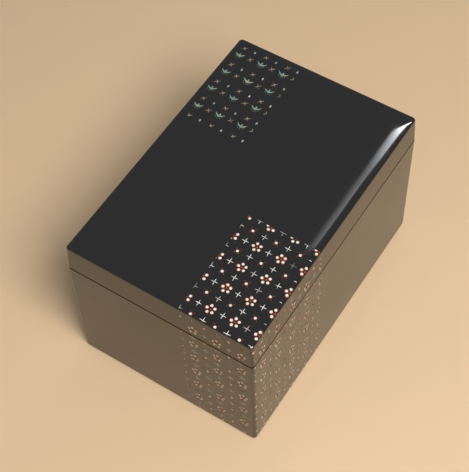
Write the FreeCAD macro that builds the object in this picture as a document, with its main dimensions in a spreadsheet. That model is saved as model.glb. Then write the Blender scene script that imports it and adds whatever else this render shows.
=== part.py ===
import FreeCAD, Part
import os
import Sketcher

# Lacquered wooden box for tea utensils, in millimetres, closed.
# Origin at the middle of the underside, +X along its length, +Z up.
# Three assemblies share the frame: the box itself, the flush lid that slides
# down over the lips round the box's mouth, and the tray that hangs on those lips.

SIZES = [
    # the whole box, outside
    ("outside_length", 224.0),
    ("outside_width", 151.5),
    ("outside_height", 133.5),
    ("lid_depth", 24.3),
    # boards and their joints
    ("wall", 5.5),
    ("base_thickness", 6.0),
    ("corner_radius", 2.5),
    ("lap_margin", 1.2),
    ("foot_radius", 2.2),
    ("mouth_radius", 0.9),
    # lips round the mouth
    ("lip_thickness", 3.0),
    ("lip_rise", 7.0),
    ("lip_drop", 20.0),
    ("lip_round", 0.8),
    # lid
    ("lid_clearance", 0.3),
    ("lid_top_thickness", 6.0),
    ("lid_lean", 1.1),
    ("rim_radius", 0.5),
    ("shoulder_width", 10.0),
    ("shoulder_fall", 0.7),
    ("edge_step", 1.3),
    # hanging tray
    ("tray_clearance", 0.6),
    ("tray_wall", 4.0),
    ("tray_depth", 34.0),
    ("tray_floor_thickness", 4.0),
    ("tray_corner_radius", 1.0),
    ("tray_lap_margin", 1.2),
    ("tray_edge_radius", 0.5),
    ("ledge_thickness", 3.0),
    ("ledge_clearance", 0.5),
    ("ledge_round", 0.8),
    # bamboo pegs, all blind: a skin of wood covers each end
    ("peg_diameter", 2.0),
    ("peg_cover", 1.2),
    ("peg_grip", 8.0),
    ("tray_peg_diameter", 1.6),
    ("tray_peg_cover", 0.9),
    ("tray_peg_grip", 6.0),
]

# A face or an edge counts as lying on a plane within this distance.
NEAR = 0.001

doc = FreeCAD.newDocument("tea_utensil_box")
sheet = doc.addObject("Spreadsheet::Sheet", "sizes")
for row, (alias, number) in enumerate(SIZES, 1):
    sheet.set(f"A{row}", alias)
    sheet.set(f"B{row}", str(number))
    sheet.setAlias(f"B{row}", alias)
doc.recompute()

# Sizes that follow from the sheet, as expressions.
SEAM = "(sizes.outside_height - sizes.lid_depth)"
LIP_TOP = f"({SEAM} + sizes.lip_rise)"
LAP = "(sizes.corner_radius + sizes.lap_margin)"
RIM = "(sizes.wall - sizes.lid_clearance)"
RIM_DEPTH = "(sizes.lid_depth - sizes.lid_top_thickness)"
INNER_LENGTH = "(sizes.outside_length - 2 * sizes.wall)"
INNER_WIDTH = "(sizes.outside_width - 2 * sizes.wall)"
TRAY_GAP = "(sizes.lip_thickness + sizes.tray_clearance)"
TRAY_LENGTH = f"({INNER_LENGTH} - 2 * {TRAY_GAP})"
TRAY_WIDTH = f"({INNER_WIDTH} - 2 * {TRAY_GAP})"
TRAY_LOW = f"({LIP_TOP} - sizes.tray_depth)"
TRAY_LAP = "(sizes.tray_corner_radius + sizes.tray_lap_margin)"

sub_parts = []


def value(expression):
    """The number that an expression on the sheet stands for."""
    return float(sheet.evalExpression(expression))


def keep(item, label):
    """Names a finished sub-part."""
    item.Label = label
    sub_parts.append(item)
    return item


# ---- boards ---------------------------------------------------------------


def outline(body, label, corners, low):
    """A closed sketch in plan at height low, each corner tied to the sheet."""
    sketch = body.newObject("Sketcher::SketchObject", label + "_outline")
    planes = {feature.Role: feature for feature in body.Origin.OriginFeatures}
    sketch.AttachmentSupport = (planes["XY_Plane"], [""])
    sketch.MapMode = "FlatFace"
    sketch.setExpression("AttachmentOffset.Base.z", low)
    spots = [FreeCAD.Vector(value(x), value(y), 0) for x, y in corners]
    for start, end in zip(spots, spots[1:] + spots[:1]):
        sketch.addGeometry(Part.LineSegment(start, end))
    # Each corner joins the end of one edge to the start of the next.
    for edge, (x, y) in enumerate(corners):
        before = (edge - 1) % len(corners)
        sketch.addConstraint(Sketcher.Constraint("Coincident", before, 2, edge, 1))
        for kind, axis, place in (("DistanceX", "x", x), ("DistanceY", "y", y)):
            number = sketch.addConstraint(Sketcher.Constraint(kind, -1, 1, edge, 1, value(place)))
            sketch.renameConstraint(number, f"{axis}{edge}")
            sketch.setExpression(f"Constraints.{axis}{edge}", place)
    return sketch


def rounded(body, label, base, radius, wanted):
    """A fillet on the edges of base that the test accepts."""
    doc.recompute()
    names = [f"Edge{i}" for i, edge in enumerate(base.Shape.Edges, 1) if wanted(edge)]
    fillet = body.newObject("PartDesign::Fillet", label)
    fillet.Base = (base, names)
    fillet.setExpression("Radius", radius)
    return fillet


def board(label, corners, low, tall, rounds):
    """A board cut to an outline in plan; rounds holds (name, radius, test) for its soft edges."""
    body = doc.addObject("PartDesign::Body", label + "_body")
    feature = body.newObject("PartDesign::Pad", label + "_pad")
    feature.Profile = outline(body, label, corners, low)
    feature.setExpression("Length", tall)
    for name, radius, wanted in rounds:
        feature = rounded(body, f"{label}_{name}", feature, radius, wanted)
    return body


def middle(edge):
    return edge.valueAt((edge.FirstParameter + edge.LastParameter) / 2)


def upright_at(length, width):
    """Accepts the upright edges on the outside corners of a length by width frame."""
    half_length, half_width = value(length) / 2, value(width) / 2

    def wanted(edge):
        spot = middle(edge)
        return (abs(edge.BoundBox.XLength) < NEAR and abs(edge.BoundBox.YLength) < NEAR
                and abs(abs(spot.x) - half_length) < NEAR and abs(abs(spot.y) - half_width) < NEAR)

    return wanted


def rim_at(length, width, height):
    """Accepts the edges round the outside of a length by width frame at one height."""
    half_length, half_width, level = value(length) / 2, value(width) / 2, value(height)

    def wanted(edge):
        spot = middle(edge)
        box = edge.BoundBox
        if abs(box.ZMin - level) > NEAR or abs(box.ZMax - level) > NEAR:
            return False
        along_side = abs(abs(spot.y) - half_width) < NEAR and box.YLength < NEAR
        along_end = abs(abs(spot.x) - half_length) < NEAR and box.XLength < NEAR
        return along_side or along_end or isinstance(edge.Curve, Part.Circle)

    return wanted


def long_board_corners(side, length, width, thick, lap):
    """Plan of a long board on side -1 (front) or 1 (back): a rabbet at each end takes an end board."""
    outer = f"{side} * {width} / 2"
    step = f"{side} * ({width} / 2 - {lap})"
    inner = f"{side} * ({width} / 2 - {thick})"
    half = f"{length} / 2"
    shoulder = f"({length} / 2 - {thick})"
    return [
        (f"-{half}", outer), (half, outer), (half, step), (shoulder, step),
        (shoulder, inner), (f"-{shoulder}", inner), (f"-{shoulder}", step), (f"-{half}", step),
    ]


def end_board_corners(side, length, width, thick, lap):
    """Plan of an end board on side -1 (left) or 1 (right), let in between the long boards."""
    outer = f"{side} * {length} / 2"
    inner = f"{side} * ({length} / 2 - {thick})"
    half = f"({width} / 2 - {lap})"
    return [(outer, f"-{half}"), (outer, half), (inner, half), (inner, f"-{half}")]


def block(label, low_x, high_x, low_y, high_y, low_z, tall, rounds=()):
    """A rectangular piece between two places along X and two along Y."""
    corners = [(low_x, low_y), (high_x, low_y), (high_x, high_y), (low_x, high_y)]
    return board(label, corners, low_z, tall, rounds)


# ---- pegs -----------------------------------------------------------------

TURN = {
    "x": FreeCAD.Rotation(FreeCAD.Vector(0, 1, 0), 90),
    "-x": FreeCAD.Rotation(FreeCAD.Vector(0, 1, 0), -90),
    "y": FreeCAD.Rotation(FreeCAD.Vector(1, 0, 0), -90),
    "-y": FreeCAD.Rotation(FreeCAD.Vector(1, 0, 0), 90),
    "z": FreeCAD.Rotation(),
}


def peg_group(label, diameter, places):
    """Pegs of one size as one sub-part; each place is (x, y, z of its start, direction, length)."""
    pegs = []
    for number, (x, y, z, direction, length) in enumerate(places, 1):
        peg = doc.addObject("Part::Cylinder", f"{label}_{number}")
        peg.Placement.Rotation = TURN[direction]
        peg.setExpression("Radius", f"{diameter} / 2")
        peg.setExpression("Height", length)
        for axis, place in (("x", x), ("y", y), ("z", z)):
            peg.setExpression(f"Placement.Base.{axis}", place)
        pegs.append(peg)
    group = doc.addObject("Part::Compound", label)
    group.Links = pegs
    return keep(group, label)


def drilled(label, blank, groups):
    """The blank with the holes of the pegs that enter it."""
    piece = blank
    for number, group in enumerate(groups, 1):
        cut = doc.addObject("Part::Cut", f"{label}_holes_{number}")
        cut.Base = piece
        cut.Tool = group
        piece = cut
    return keep(piece, label)


def corner_peg_places(length, width, thick, lap, low, tall, count, cover, grip):
    """count pegs up each corner, from the long boards' laps into the end boards' ends."""
    places = []
    for x_side in (-1, 1):
        for y_side, direction in ((-1, "y"), (1, "-y")):
            for number in range(count):
                x = f"{x_side} * ({length} / 2 - {thick} / 2)"
                y = f"{y_side} * ({width} / 2 - {cover})"
                z = f"{low} + {tall} * {(number + 0.5) / count}"
                places.append((x, y, z, direction, f"{lap} - {cover} + {grip}"))
    return places


def panel_peg_places(length, width, thick, level, along, across, cover, grip):
    """Pegs from the walls into a panel's edges: along per long wall and across per end wall."""
    reach = f"{thick} - {cover} + {grip}"
    places = []
    for number in range(along):
        x = f"{length} * {(number + 0.5) / along - 0.5}"
        for side, direction in ((-1, "y"), (1, "-y")):
            places.append((x, f"{side} * ({width} / 2 - {cover})", level, direction, reach))
    for number in range(across):
        y = f"{width} * {(number + 0.5) / across - 0.5}"
        for side, direction in ((-1, "x"), (1, "-x")):
            places.append((f"{side} * ({length} / 2 - {cover})", y, level, direction, reach))
    return places


def shaped(label, blank, form):
    """The blank worked down to the outside of a form."""
    if form is None:
        return blank
    common = doc.addObject("Part::Common", label + "_shaped")
    common.Base = blank
    common.Tool = form
    return common


def four_boards(names, length, width, thick, lap, low, tall, rounds, groups, form=None):
    """Two long boards and two end boards round a rectangle, softened alike and drilled for their pegs."""
    front, back, left, right = names
    for label, side in ((front, -1), (back, 1)):
        corners = long_board_corners(side, length, width, thick, lap)
        blank = board(label, corners, low, tall, rounds)
        drilled(label, shaped(label, blank, form), groups)
    for label, side in ((left, -1), (right, 1)):
        corners = end_board_corners(side, length, width, thick, lap)
        # An end board has no outside corner of its own.
        flat_rounds = [entry for entry in rounds if entry[0] != "corners"]
        blank = board(label, corners, low, tall, flat_rounds)
        drilled(label, shaped(label, blank, form), groups)


LENGTH, WIDTH = "sizes.outside_length", "sizes.outside_width"

# ---- the box: four walls, base and lips -----------------------------------

box_corner_pegs = peg_group("box_corner_pegs", "sizes.peg_diameter", corner_peg_places(
    LENGTH, WIDTH, "sizes.wall", LAP, "0", SEAM, 3, "sizes.peg_cover", "sizes.peg_grip"))
box_base_pegs = peg_group("box_base_pegs", "sizes.peg_diameter", panel_peg_places(
    LENGTH, WIDTH, "sizes.wall", "sizes.base_thickness / 2", 3, 2, "sizes.peg_cover", "sizes.peg_grip"))

four_boards(
    ("front_board", "back_board", "left_end_board", "right_end_board"),
    LENGTH, WIDTH, "sizes.wall", LAP, "0", SEAM,
    [("corners", "sizes.corner_radius", upright_at(LENGTH, WIDTH)),
     ("foot", "sizes.foot_radius", rim_at(LENGTH, WIDTH, "0")),
     ("mouth", "sizes.mouth_radius", rim_at(LENGTH, WIDTH, SEAM))],
    [box_corner_pegs, box_base_pegs])

drilled("base_board", block(
    "base_board", f"-{INNER_LENGTH} / 2", f"{INNER_LENGTH} / 2", f"-{INNER_WIDTH} / 2",
    f"{INNER_WIDTH} / 2", "0", "sizes.base_thickness"), [box_base_pegs])

# The lips stand round the inside of the mouth, glued to the walls. The long
# ones run from end wall to end wall and the end ones fit between them.
LIP_LOW = f"({SEAM} - sizes.lip_drop)"
LIP_TALL = "(sizes.lip_drop + sizes.lip_rise)"
LIP_ROUNDS = [("top", "sizes.lip_round", rim_at(INNER_LENGTH, INNER_WIDTH, LIP_TOP))]
for label, side in (("front_lip", -1), ("back_lip", 1)):
    keep(block(label, f"-{INNER_LENGTH} / 2", f"{INNER_LENGTH} / 2",
               f"{side} * {INNER_WIDTH} / 2", f"{side} * ({INNER_WIDTH} / 2 - sizes.lip_thickness)",
               LIP_LOW, LIP_TALL, LIP_ROUNDS), label)
for label, side in (("left_lip", -1), ("right_lip", 1)):
    half = f"({INNER_WIDTH} / 2 - sizes.lip_thickness)"
    keep(block(label, f"{side} * {INNER_LENGTH} / 2",
               f"{side} * ({INNER_LENGTH} / 2 - sizes.lip_thickness)", f"-{half}", half,
               LIP_LOW, LIP_TALL, LIP_ROUNDS), label)

# ---- the lid: four rims under a top board ----------------------------------

# The lid is put together square and then planed to its outside form: the sides
# lean in a little towards the top, the top falls away gently over a shoulder
# along its edges, and the edge between them is rounded.
SHOULDER_LOW = "(sizes.outside_height - sizes.shoulder_fall)"


def frustum(body, label, low, high, inset_low, inset_high):
    """A layer of the lid's form between two heights, each with its own inset from the outside."""
    wedge = body.newObject("PartDesign::AdditiveWedge", label)
    planes = {feature.Role: feature for feature in body.Origin.OriginFeatures}
    wedge.AttachmentSupport = (planes["XZ_Plane"], [""])
    wedge.MapMode = "FlatFace"
    wedge.setExpression("Ymin", low)
    wedge.setExpression("Ymax", high)
    # The wedge's own Y stands upright, and its own Z runs across the lid.
    for size, axis in ((LENGTH, "X"), (WIDTH, "Z")):
        wedge.setExpression(axis + "min", f"-({size} / 2 - {inset_low})")
        wedge.setExpression(axis + "max", f"{size} / 2 - {inset_low}")
        wedge.setExpression(axis + "2min", f"-({size} / 2 - {inset_high})")
        wedge.setExpression(axis + "2max", f"{size} / 2 - {inset_high}")
    return wedge


lid_form = doc.addObject("PartDesign::Body", "lid_form")
frustum(lid_form, "lid_sides", SEAM, SHOULDER_LOW, "0", "sizes.lid_lean")
shoulder = frustum(lid_form, "lid_shoulder", SHOULDER_LOW, "sizes.outside_height", "sizes.lid_lean",
                   "(sizes.lid_lean + sizes.shoulder_width)")


def leaning_corner(edge):
    """Accepts the four corner edges up the form's sides."""
    return edge.BoundBox.ZLength > value("sizes.lid_depth") / 2


def on_top_edge(edge):
    """Accepts the edges where the shoulder meets the sides and corners."""
    fall = value("sizes.shoulder_fall")
    level = value("sizes.outside_height") - fall
    box = edge.BoundBox
    spot = middle(edge)
    corner = value("sizes.corner_radius") + value("sizes.lid_lean")
    outside = abs(spot.x) > value(LENGTH) / 2 - corner or abs(spot.y) > value(WIDTH) / 2 - corner
    return outside and abs(box.ZMin - level) < fall / 2 and box.ZLength < fall / 2


form_corners = rounded(lid_form, "lid_corners", shoulder, "sizes.corner_radius", leaning_corner)
form_edge = rounded(lid_form, "lid_edge", form_corners, "sizes.corner_radius - sizes.edge_step",
                    on_top_edge)
rounded(lid_form, "lid_rim_edge", form_edge, "sizes.rim_radius", rim_at(LENGTH, WIDTH, SEAM))

lid_corner_pegs = peg_group("lid_corner_pegs", "sizes.peg_diameter", corner_peg_places(
    LENGTH, WIDTH, RIM, LAP, SEAM, RIM_DEPTH, 1, "sizes.peg_cover", "sizes.peg_grip"))

PEG_LOW = f"{SEAM} + {RIM_DEPTH} - sizes.peg_grip"
PEG_TALL = "sizes.peg_grip + sizes.lid_top_thickness / 2"
PEG_INSET = f"({RIM} / 2 + sizes.lid_lean / 2)"
top_places = []
for number in (-1, 0, 1):
    for side in (-1, 1):
        top_places.append((f"{number} * {LENGTH} / 3", f"{side} * ({WIDTH} / 2 - {PEG_INSET})",
                           PEG_LOW, "z", PEG_TALL))
for number in (-1, 1):
    for side in (-1, 1):
        top_places.append((f"{side} * ({LENGTH} / 2 - {PEG_INSET})", f"{number} * {WIDTH} / 5",
                           PEG_LOW, "z", PEG_TALL))
lid_top_pegs = peg_group("lid_top_pegs", "sizes.peg_diameter", top_places)

four_boards(
    ("lid_front_rim", "lid_back_rim", "lid_left_rim", "lid_right_rim"),
    LENGTH, WIDTH, RIM, LAP, SEAM, RIM_DEPTH, [], [lid_corner_pegs, lid_top_pegs], lid_form)

top_blank = block("lid_top_board", f"-{LENGTH} / 2", f"{LENGTH} / 2", f"-{WIDTH} / 2", f"{WIDTH} / 2",
                  f"({SEAM} + {RIM_DEPTH})", "sizes.lid_top_thickness")
drilled("lid_top_board", shaped("lid_top_board", top_blank, lid_form), [lid_top_pegs])

# ---- the hanging tray ------------------------------------------------------

tray_corner_pegs = peg_group("tray_corner_pegs", "sizes.tray_peg_diameter", corner_peg_places(
    TRAY_LENGTH, TRAY_WIDTH, "sizes.tray_wall", TRAY_LAP, TRAY_LOW, "sizes.tray_depth", 2,
    "sizes.tray_peg_cover", "sizes.tray_peg_grip"))
tray_floor_pegs = peg_group("tray_floor_pegs", "sizes.tray_peg_diameter", panel_peg_places(
    TRAY_LENGTH, TRAY_WIDTH, "sizes.tray_wall", f"{TRAY_LOW} + sizes.tray_floor_thickness / 2", 3, 2,
    "sizes.tray_peg_cover", "sizes.tray_peg_grip"))

four_boards(
    ("tray_front_side", "tray_back_side", "tray_left_side", "tray_right_side"),
    TRAY_LENGTH, TRAY_WIDTH, "sizes.tray_wall", TRAY_LAP, TRAY_LOW, "sizes.tray_depth",
    [("corners", "sizes.tray_corner_radius", upright_at(TRAY_LENGTH, TRAY_WIDTH)),
     ("foot", "sizes.tray_edge_radius", rim_at(TRAY_LENGTH, TRAY_WIDTH, TRAY_LOW))],
    [tray_corner_pegs, tray_floor_pegs])

TRAY_INNER_LENGTH = f"({TRAY_LENGTH} - 2 * sizes.tray_wall)"
TRAY_INNER_WIDTH = f"({TRAY_WIDTH} - 2 * sizes.tray_wall)"
drilled("tray_floor", block(
    "tray_floor", f"-{TRAY_INNER_LENGTH} / 2", f"{TRAY_INNER_LENGTH} / 2",
    f"-{TRAY_INNER_WIDTH} / 2", f"{TRAY_INNER_WIDTH} / 2", TRAY_LOW, "sizes.tray_floor_thickness"),
    [tray_floor_pegs])

# The ledges lie on the tray's sides and reach out over the box's lips.
LEDGE_LENGTH = f"({INNER_LENGTH} - 2 * sizes.ledge_clearance)"
LEDGE_WIDTH = f"({INNER_WIDTH} - 2 * sizes.ledge_clearance)"
LEDGE_TOP = f"({LIP_TOP} + sizes.ledge_thickness)"
LEDGE_ROUNDS = [("top", "sizes.ledge_round", rim_at(LEDGE_LENGTH, LEDGE_WIDTH, LEDGE_TOP))]
for label, side in (("tray_front_ledge", -1), ("tray_back_ledge", 1)):
    keep(block(label, f"-{LEDGE_LENGTH} / 2", f"{LEDGE_LENGTH} / 2", f"{side} * {LEDGE_WIDTH} / 2",
               f"{side} * {TRAY_INNER_WIDTH} / 2", LIP_TOP, "sizes.ledge_thickness", LEDGE_ROUNDS), label)
for label, side in (("tray_left_ledge", -1), ("tray_right_ledge", 1)):
    keep(block(label, f"{side} * {LEDGE_LENGTH} / 2", f"{side} * {TRAY_INNER_LENGTH} / 2",
               f"-{TRAY_INNER_WIDTH} / 2", f"{TRAY_INNER_WIDTH} / 2",
               LIP_TOP, "sizes.ledge_thickness", LEDGE_ROUNDS), label)

# ---- check and write -------------------------------------------------------

doc.recompute()
for item in doc.Objects:
    if "Invalid" in item.State or "Error" in item.State:
        raise RuntimeError(f"{item.Label} failed: {item.State}")
os.makedirs("parts", exist_ok=True)
for item in sub_parts:
    shape = item.Shape
    if shape.isNull() or not shape.isValid() or not shape.Solids:
        raise RuntimeError(f"{item.Label} has no valid solid")
    shape.exportStep(f"parts/{item.Label}.step")
    print(f"{item.Label}: {len(shape.Solids)} solid(s), {shape.Volume / 1000:.2f} cm3")
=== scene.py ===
import math
import random

import bmesh
import bpy
from mathutils import Euler, Matrix, Vector


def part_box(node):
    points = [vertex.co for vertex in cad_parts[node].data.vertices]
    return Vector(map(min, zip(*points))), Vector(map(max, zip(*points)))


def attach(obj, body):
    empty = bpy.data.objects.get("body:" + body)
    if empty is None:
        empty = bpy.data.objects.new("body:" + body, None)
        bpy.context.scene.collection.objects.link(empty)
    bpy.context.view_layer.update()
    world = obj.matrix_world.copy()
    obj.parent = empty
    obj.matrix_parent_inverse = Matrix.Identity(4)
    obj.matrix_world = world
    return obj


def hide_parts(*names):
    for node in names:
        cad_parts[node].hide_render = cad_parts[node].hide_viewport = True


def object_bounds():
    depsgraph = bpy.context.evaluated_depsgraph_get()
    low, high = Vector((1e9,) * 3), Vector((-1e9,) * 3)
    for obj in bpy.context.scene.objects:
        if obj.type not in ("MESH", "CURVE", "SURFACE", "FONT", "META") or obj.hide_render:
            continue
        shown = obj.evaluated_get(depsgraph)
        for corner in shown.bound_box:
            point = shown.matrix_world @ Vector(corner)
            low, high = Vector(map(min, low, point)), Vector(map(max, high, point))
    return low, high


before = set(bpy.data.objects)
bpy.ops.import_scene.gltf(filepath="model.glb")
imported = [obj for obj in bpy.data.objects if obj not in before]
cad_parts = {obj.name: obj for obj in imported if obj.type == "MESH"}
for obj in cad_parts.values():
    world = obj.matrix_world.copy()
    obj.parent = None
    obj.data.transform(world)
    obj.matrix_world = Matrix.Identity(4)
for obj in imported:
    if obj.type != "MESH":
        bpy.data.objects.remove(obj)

cad_low, cad_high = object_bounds()

# ---- Camera ------------------------------------------------------------------------------------
# A long lens, held high over the box's left front corner and tipped a little anticlockwise.
# The box stands with its long front on the right of the view and its left end on the left.

CAMERA_AZIMUTH = math.radians(-55.03)
CAMERA_ELEVATION = math.radians(56.2)
CAMERA_ROLL = math.radians(-2.84)
CAMERA_DISTANCE = 0.9567
CAMERA_LENS = 98.83
AIM_FROM_MIDDLE = Vector((-0.0068, 0.0073, 0.0))

aim = (cad_low + cad_high) / 2 + AIM_FROM_MIDDLE
turn = Euler((math.pi / 2 - CAMERA_ELEVATION, 0, CAMERA_AZIMUTH)).to_matrix().to_4x4()
bpy.ops.object.camera_add()
camera = bpy.context.object
camera.name = "camera"
camera.data.lens = CAMERA_LENS
camera.matrix_world = (Matrix.Translation(aim) @ turn @ Matrix.Translation((0, 0, CAMERA_DISTANCE))
                       @ Matrix.Rotation(CAMERA_ROLL, 4, "Z"))
bpy.context.scene.camera = camera
bpy.context.scene.view_settings.view_transform = "Standard"

# ---- Floor and studio light ----------------------------------------------------------------------
# A plain pale straw-coloured floor under a large soft light, held above the camera and towards the
# box's front. A window high beyond the box's right end, brighter towards its far side, draws the
# streak on the lid's shoulder.

FLOOR_SIDE = 8.0
FLOOR_COLOUR = (0.86, 0.635, 0.405, 1)
FLOOR_ROUGHNESS = 0.85
FLOOR_SPECULAR = 0.2
ROOM_COLOUR = (0.222, 0.222, 0.224, 1)
KEY_PLACE = (-0.34, -0.62, 1.15)
KEY_SIZE = 0.55
KEY_POWER = 13.8
KEY_COLOUR = (1.0, 0.97, 0.93)
WINDOW_PLACE = Vector((0.95, 0.19, 1.5))
WINDOW_LENGTH = 0.42
WINDOW_WIDTH = 0.37
WINDOW_COLOUR = (0.93, 0.97, 1.0)
WINDOW_DIM = 1.25
WINDOW_BRIGHT = 92.0
WINDOW_RISE = 8.5
NEAR_EDGE_BOW = 0.38
NEAR_EDGE_POWER = 3.0
NEAR_EDGE_CRISPNESS = 8.0
FAR_EDGE_TAPER = 0.5
FAR_EDGE_POWER = 12.0

bpy.ops.mesh.primitive_plane_add(size=FLOOR_SIDE)
floor = bpy.context.object
floor.name = "floor"
floor_paint = bpy.data.materials.new("floor_paint")
floor_paint.use_nodes = True
floor_shader = floor_paint.node_tree.nodes["Principled BSDF"]
floor_shader.inputs["Base Color"].default_value = FLOOR_COLOUR
floor_shader.inputs["Roughness"].default_value = FLOOR_ROUGHNESS
floor_shader.inputs["Specular IOR Level"].default_value = FLOOR_SPECULAR
floor.data.materials.append(floor_paint)

room = bpy.data.worlds.new("room")
room.use_nodes = True
room.node_tree.nodes["Background"].inputs["Color"].default_value = ROOM_COLOUR
bpy.context.scene.world = room


def soft_light(name, place, target, width, depth, power, colour):
    """A rectangular studio light at place, facing target."""
    bpy.ops.object.light_add(type="AREA", location=place)
    light = bpy.context.object
    light.name = name
    light.data.shape = "RECTANGLE"
    light.data.size = width
    light.data.size_y = depth
    light.data.energy = power
    light.data.color = colour
    light.rotation_euler = (Vector(target) - Vector(place)).to_track_quat("-Z", "Y").to_euler()
    return light


def sums(group, operation, first, second=None):
    """One Math node; each of its two inputs is a socket or a number."""
    node = group.nodes.new("ShaderNodeMath")
    node.operation = operation
    for number, source in enumerate((first, second)):
        if isinstance(source, bpy.types.NodeSocket):
            group.links.new(source, node.inputs[number])
        elif source is not None:
            node.inputs[number].default_value = source
    return node.outputs[0]


soft_light("soft_key", KEY_PLACE, (0, 0, 0), KEY_SIZE, KEY_SIZE, KEY_POWER, KEY_COLOUR)

# The window's power is such that its strength is its radiance. Its pane narrows towards both ends;
# across it the light starts sharply at the near edge and fades out at the far one.
window = soft_light("window", WINDOW_PLACE, WINDOW_PLACE - Vector((0, 0, 1)),
                    WINDOW_LENGTH, WINDOW_WIDTH,
                    math.pi * WINDOW_LENGTH * WINDOW_WIDTH, WINDOW_COLOUR)
window.data.use_nodes = True
pane = window.data.node_tree
over_pane = pane.nodes.new("ShaderNodeSeparateXYZ")
pane.links.new(pane.nodes.new("ShaderNodeNewGeometry").outputs["Parametric"], over_pane.inputs[0])
along_pane = over_pane.outputs["X"]
near_edge = sums(pane, "MULTIPLY", NEAR_EDGE_BOW,
                 sums(pane, "SUBTRACT", 1.0, sums(pane, "POWER", along_pane, NEAR_EDGE_POWER)))
far_edge = sums(pane, "SUBTRACT", 1.0,
                sums(pane, "MULTIPLY", FAR_EDGE_TAPER,
                     sums(pane, "POWER", along_pane, FAR_EDGE_POWER)))
from_near = sums(pane, "SUBTRACT", over_pane.outputs["Y"], near_edge)
across_pane = sums(pane, "DIVIDE", from_near, sums(pane, "SUBTRACT", far_edge, near_edge))
lit = sums(pane, "MINIMUM", 1.0, sums(pane, "MULTIPLY", NEAR_EDGE_CRISPNESS, across_pane))
lit = sums(pane, "MAXIMUM", 0.0, sums(pane, "MINIMUM", lit, sums(pane, "SUBTRACT", 1.0, across_pane)))
rise = sums(pane, "POWER", along_pane, WINDOW_RISE)
strength = sums(pane, "ADD", sums(pane, "MULTIPLY", WINDOW_DIM, sums(pane, "ADD", 1.0, along_pane)),
                sums(pane, "MULTIPLY", WINDOW_BRIGHT, rise))
pane.links.new(sums(pane, "MULTIPLY", lit, strength), pane.nodes["Emission"].inputs["Strength"])

# ---- Box walls -----------------------------------------------------------------------------------
# Four boards lapped and pegged at the corners and built up with many coats of black lacquer, each
# rubbed down, the last polished to a mirror. Along its edges the lacquer has worn thin and brown.

MM = 0.001
LACQUER = (0.0085, 0.0078, 0.0080, 1)
RUBBED = (0.060, 0.028, 0.014, 1)
# The two below paint the groove at the seam near-black and dull: painted shade for the gap between lid
# and box.
PAINTED_SEAM_SHADE = (0.003, 0.0025, 0.002, 1)
PAINTED_SEAM_SHADE_ROUGHNESS = 0.7
WEAR_REACH = 2.2 * MM
SEAM_REACH = 0.7 * MM
SEAM_DROP = 0.15 * MM
SEAM_INWARD = 0.6
SEAM_FADE = 1.5
LACQUER_IOR = 1.85


def new_group(name, takes, gives):
    """An empty shader node group with named inputs (name, kind, default) and outputs (name, kind)."""
    group = bpy.data.node_groups.new(name, "ShaderNodeTree")
    for label, kind, default in takes:
        socket = group.interface.new_socket(label, in_out="INPUT", socket_type=kind)
        socket.default_value = default
    for label, kind in gives:
        group.interface.new_socket(label, in_out="OUTPUT", socket_type=kind)
    return group, group.nodes.new("NodeGroupInput"), group.nodes.new("NodeGroupOutput")


# Edge wear: 1 along the outside edges of a box that is centred on the Z axis, 0 elsewhere.
edge_wear, wear_in, wear_out = new_group(
    "edge_wear",
    [("Half Length", "NodeSocketFloat", 0.1), ("Half Width", "NodeSocketFloat", 0.1),
     ("Top", "NodeSocketFloat", 0.1), ("Bottom", "NodeSocketFloat", 0.0),
     ("Reach", "NodeSocketFloat", 0.002), ("Patchiness", "NodeSocketFloat", 60.0)],
    [("Mask", "NodeSocketFloat")])
place = edge_wear.nodes.new("ShaderNodeTexCoord").outputs["Object"]
split = edge_wear.nodes.new("ShaderNodeSeparateXYZ")
edge_wear.links.new(place, split.inputs[0])
from_end = sums(edge_wear, "SUBTRACT", wear_in.outputs["Half Length"],
                sums(edge_wear, "ABSOLUTE", split.outputs["X"]))
from_side = sums(edge_wear, "SUBTRACT", wear_in.outputs["Half Width"],
                 sums(edge_wear, "ABSOLUTE", split.outputs["Y"]))
from_level = sums(edge_wear, "MINIMUM",
                  sums(edge_wear, "SUBTRACT", wear_in.outputs["Top"], split.outputs["Z"]),
                  sums(edge_wear, "SUBTRACT", split.outputs["Z"], wear_in.outputs["Bottom"]))
from_edge = sums(edge_wear, "MINIMUM", sums(edge_wear, "MAXIMUM", from_end, from_side),
                 sums(edge_wear, "MINIMUM", sums(edge_wear, "MAXIMUM", from_end, from_level),
                      sums(edge_wear, "MAXIMUM", from_side, from_level)))
patches = edge_wear.nodes.new("ShaderNodeTexNoise")
edge_wear.links.new(place, patches.inputs["Vector"])
edge_wear.links.new(wear_in.outputs["Patchiness"], patches.inputs["Scale"])
reach = sums(edge_wear, "MULTIPLY", wear_in.outputs["Reach"], patches.outputs["Fac"])
fade = sums(edge_wear, "SUBTRACT", 1.0, sums(edge_wear, "DIVIDE", from_edge, reach))
clamp = edge_wear.nodes.new("ShaderNodeClamp")
edge_wear.links.new(fade, clamp.inputs["Value"])
edge_wear.links.new(clamp.outputs[0], wear_out.inputs["Mask"])

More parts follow.
